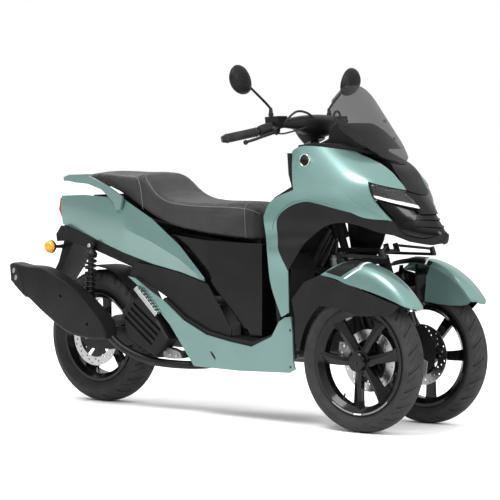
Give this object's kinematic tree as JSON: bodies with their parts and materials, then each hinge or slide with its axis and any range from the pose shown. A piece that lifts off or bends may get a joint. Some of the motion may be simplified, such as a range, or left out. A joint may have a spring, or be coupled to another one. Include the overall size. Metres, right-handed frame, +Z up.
{
  "type": "reverse trike",
  "caption": "Leaning scooter with two steered front wheels and one driven rear wheel, step-through body, screen, seat over a storage bin, and folding stands.",
  "frame": {"origin": "on the floor, under the middle of the overall length and on the centre plane", "axes": "+X forward, +Y to the rider's left, +Z up; the wheels spin about Y"},
  "size_m": [1.9453, 0.7566, 1.289],
  "materials": {
    "teal_paint": "satin metallic",
    "dark_plastic": "grained",
    "gloss_black": "gloss",
    "black_metal": "semi-gloss",
    "tyre": "matt",
    "rubber": "matt",
    "steel": "drilled and ground",
    "alloy": "cast",
    "chrome": "polished",
    "seat_cover": "grained vinyl",
    "smoke_screen": "smoked",
    "lamp_lens": "clear",
    "red_lens": "gloss",
    "amber_lens": "gloss"
  },
  "bodies": {
    "chassis": {"main_frame": "black_metal", "front_cowl": "teal_paint", "arch_panels": "dark_plastic", "headlamps": "lamp_lens", "nose_lower": "gloss_black", "nose_panel": "dark_plastic", "dash_panel": "dark_plastic", "windscreen": "smoke_screen", "inner_shield": "dark_plastic", "wheel_guard": "dark_plastic", "lower_panels": "teal_paint", "floorboard": "dark_plastic", "side_covers": "dark_plastic", "centre_cover": "gloss_black", "tail_cowl": "teal_paint", "tail_lamp": "red_lens", "grab_rail": "teal_paint", "under_tail": "dark_plastic", "indicators": "amber_lens", "storage_bin": "dark_plastic", "engine_block": "alloy", "drive_case": "alloy", "swing_arm": "black_metal", "radiator_cover": "dark_plastic", "exhaust": "black_metal", "rear_shocks": "black_metal", "rear_hugger": "dark_plastic", "tilt_linkage": "black_metal"},
    "seat": {"seat": "seat_cover", "seat_pan": "dark_plastic"},
    "handlebar": {"handlebar": "black_metal", "grips": "rubber", "brake_levers": "black_metal", "mirrors": "gloss_black", "bar_cover": "dark_plastic"},
    "tie_rod_right": {"tie_rod_right": "black_metal"},
    "tie_rod_left": {"tie_rod_left": "black_metal"},
    "wheel_rear": {"rear_tyre": "tyre", "rear_rim": "gloss_black", "rear_disc": "steel"},
    "centre_stand": {"centre_stand": "black_metal"},
    "side_stand": {"side_stand": "black_metal"},
    "fork_right": {"fork_right": "black_metal", "fender_right": "teal_paint", "fender_skirt_right": "dark_plastic"},
    "wheel_right": {"front_tyre_right": "tyre", "front_rim_right": "gloss_black", "front_disc_right": "steel"},
    "fork_left": {"fork_left": "black_metal", "fender_left": "teal_paint", "fender_skirt_left": "dark_plastic"},
    "wheel_left": {"front_tyre_left": "tyre", "front_rim_left": "gloss_black", "front_disc_left": "steel"}
  },
  "joints": [
    {"name": "steering", "type": "hinge", "parent": "chassis", "child": "handlebar", "pos_m": [0.331, 0, 1.075], "axis": [-0.342, 0, 0.9397], "range_deg": [-35, 35]},
    {"name": "fork_right_turn", "type": "hinge", "parent": "chassis", "child": "fork_right", "pos_m": [0.58668, -0.12, 0.56], "axis": [-0.342, 0, 0.9397], "range_deg": [-35, 35]},
    {"name": "wheel_right_spin", "type": "hinge", "parent": "fork_right", "child": "wheel_right", "pos_m": [0.7225, -0.1925, 0.25], "axis": [0, 1, 0], "continuous": true},
    {"name": "fork_left_turn", "type": "hinge", "parent": "chassis", "child": "fork_left", "pos_m": [0.58668, 0.12, 0.56], "axis": [-0.342, 0, 0.9397], "range_deg": [-35, 35]},
    {"name": "wheel_left_spin", "type": "hinge", "parent": "fork_left", "child": "wheel_left", "pos_m": [0.7225, 0.1925, 0.25], "axis": [0, 1, 0], "continuous": true},
    {"name": "tie_rod_right_swing", "type": "hinge", "parent": "handlebar", "child": "tie_rod_right", "pos_m": [0.70133, -0.028, 0.64], "axis": [-0.342, 0, 0.9397], "range_deg": [-35, 35]},
    {"name": "tie_rod_left_swing", "type": "hinge", "parent": "handlebar", "child": "tie_rod_left", "pos_m": [0.70133, 0.028, 0.64], "axis": [-0.342, 0, 0.9397], "range_deg": [-35, 35]},
    {"name": "wheel_rear_spin", "type": "hinge", "parent": "chassis", "child": "wheel_rear", "pos_m": [-0.6875, 0, 0.256], "axis": [0, 1, 0], "continuous": true},
    {"name": "seat_lid", "type": "hinge", "parent": "chassis", "child": "seat", "pos_m": [0.176, 0, 0.646], "axis": [0, 1, 0], "range_deg": [0, 70]},
    {"name": "centre_stand_fold", "type": "hinge", "parent": "chassis", "child": "centre_stand", "pos_m": [-0.18, 0, 0.212], "axis": [0, -1, 0], "range_deg": [0, 85]},
    {"name": "side_stand_fold", "type": "hinge", "parent": "chassis", "child": "side_stand", "pos_m": [0.06, 0.136, 0.214], "axis": [0, -0.9659, -0.2588], "range_deg": [0, 85]}
  ],
  "couplings": [
    {"joint": "fork_right_turn", "follows": "steering", "ratio": 1},
    {"joint": "fork_left_turn", "follows": "steering", "ratio": 1},
    {"joint": "tie_rod_right_swing", "follows": "steering", "ratio": -1},
    {"joint": "tie_rod_left_swing", "follows": "steering", "ratio": -1}
  ]
}
